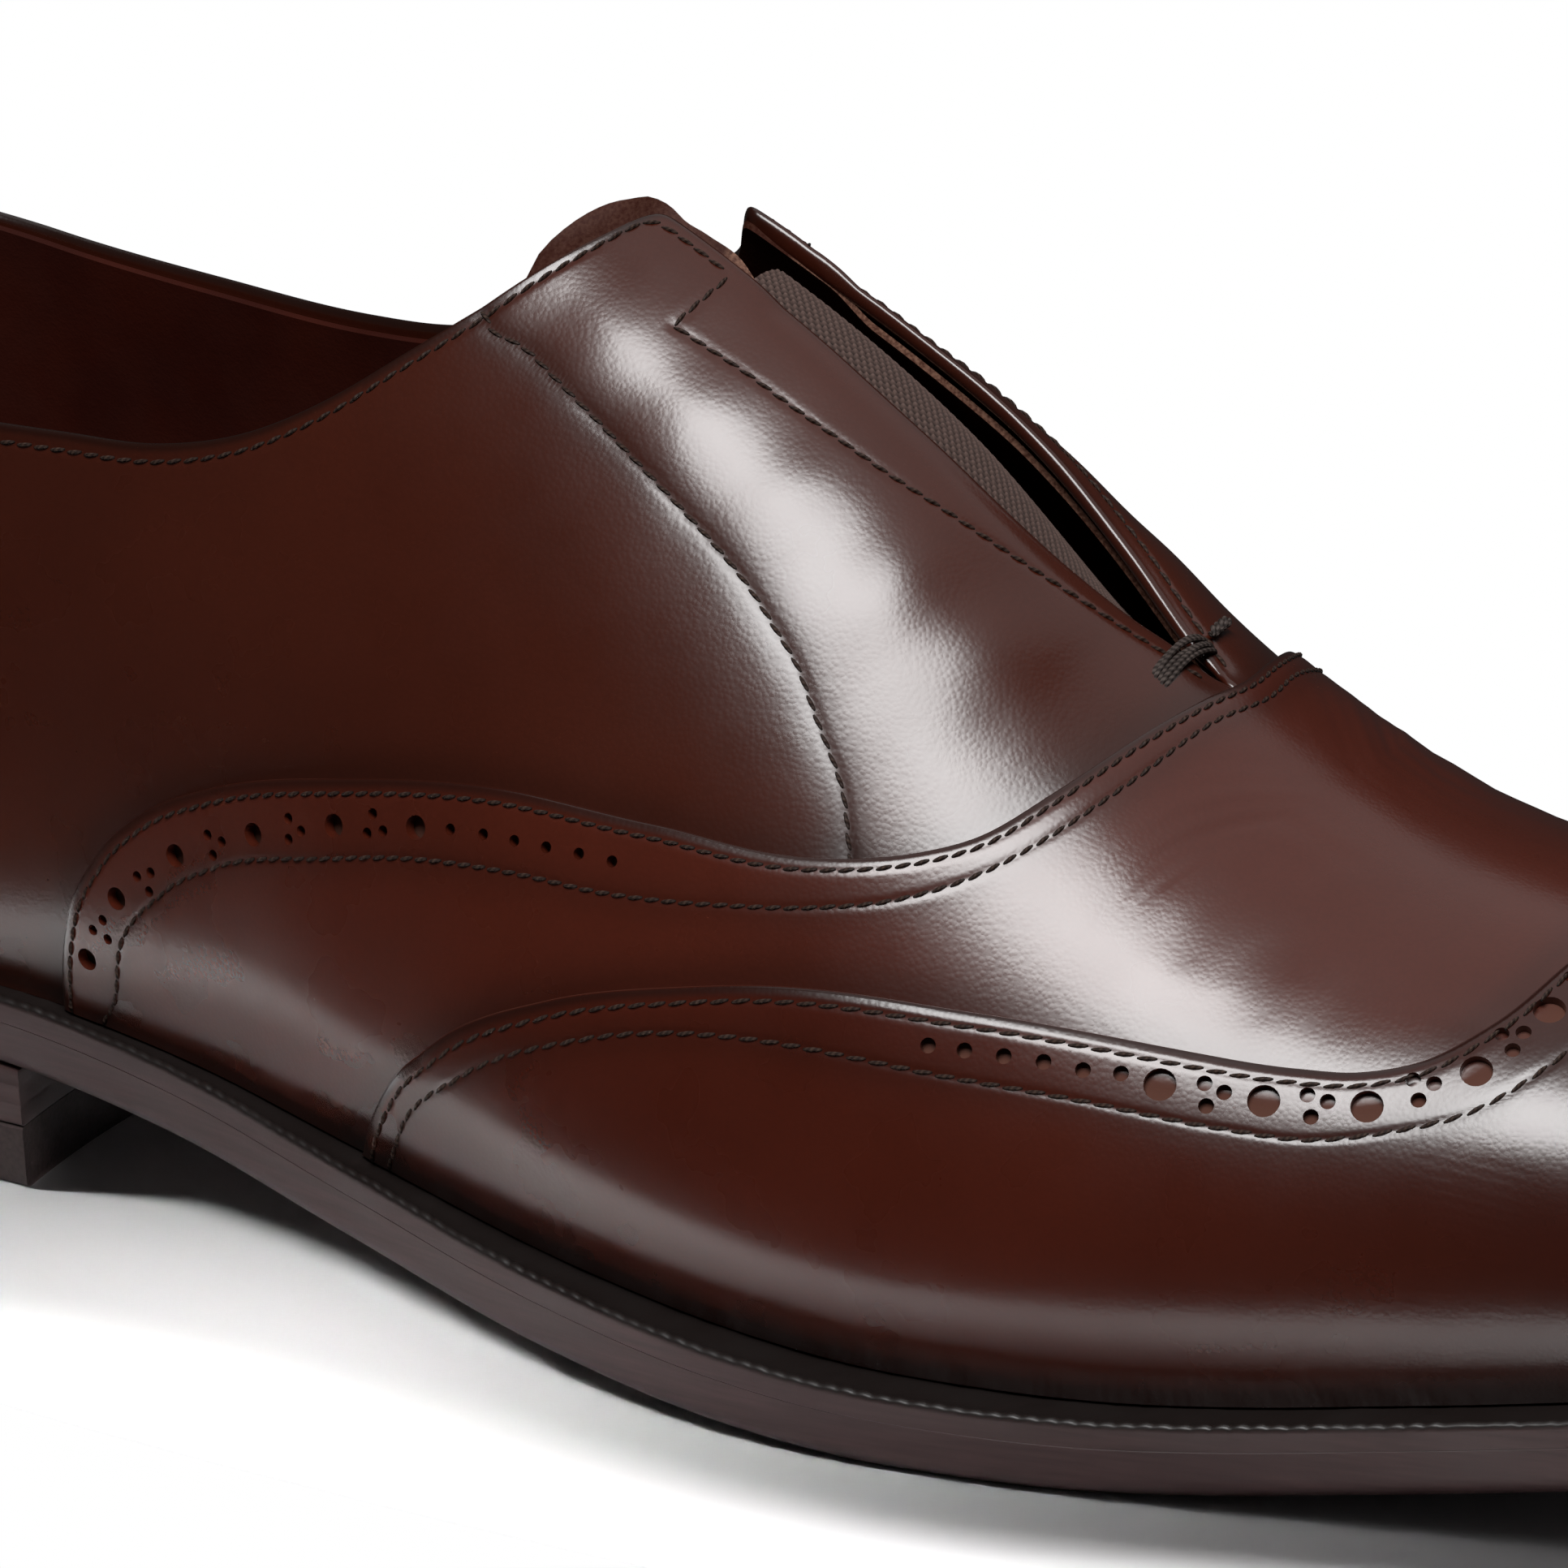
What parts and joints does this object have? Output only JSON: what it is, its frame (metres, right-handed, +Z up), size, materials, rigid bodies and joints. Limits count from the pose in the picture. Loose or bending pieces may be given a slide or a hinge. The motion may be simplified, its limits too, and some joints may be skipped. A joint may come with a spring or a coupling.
{
  "type": "slip-on brogue shoe",
  "caption": "Right-foot slip-on wing-tip brogue in burnished brown calf, with an elastic gusset in its V throat, a welted leather sole and a low stacked heel.",
  "frame": {"origin": "on the floor, under the middle of the sole's bounding box", "axes": "+X towards the toe, +Y towards the medial side of this right shoe, +Z up"},
  "size_m": [0.297, 0.099, 0.1005],
  "materials": {
    "heel_rubber": "dark moulded rubber",
    "lift_leather": "edge-dyed stacked leather",
    "edge_leather": "edge-dyed sole leather, satin",
    "welt_leather": "dark matte welt leather",
    "insole_leather": "smooth sock leather",
    "burnished_calf": "polished red-brown calf",
    "vamp_calf": "polished red-brown calf",
    "wing_calf": "polished red-brown calf",
    "woven_elastic": "plain-woven elastic"
  },
  "bodies": {
    "root": {"heel_top_piece": "heel_rubber", "heel_stack": "lift_leather", "outsole": "edge_leather", "welt": "welt_leather", "insole": "insole_leather", "upper": "burnished_calf", "vamp_overlay": "vamp_calf", "wing_cap": "wing_calf", "gusset": "woven_elastic"}
  },
  "joints": []
}
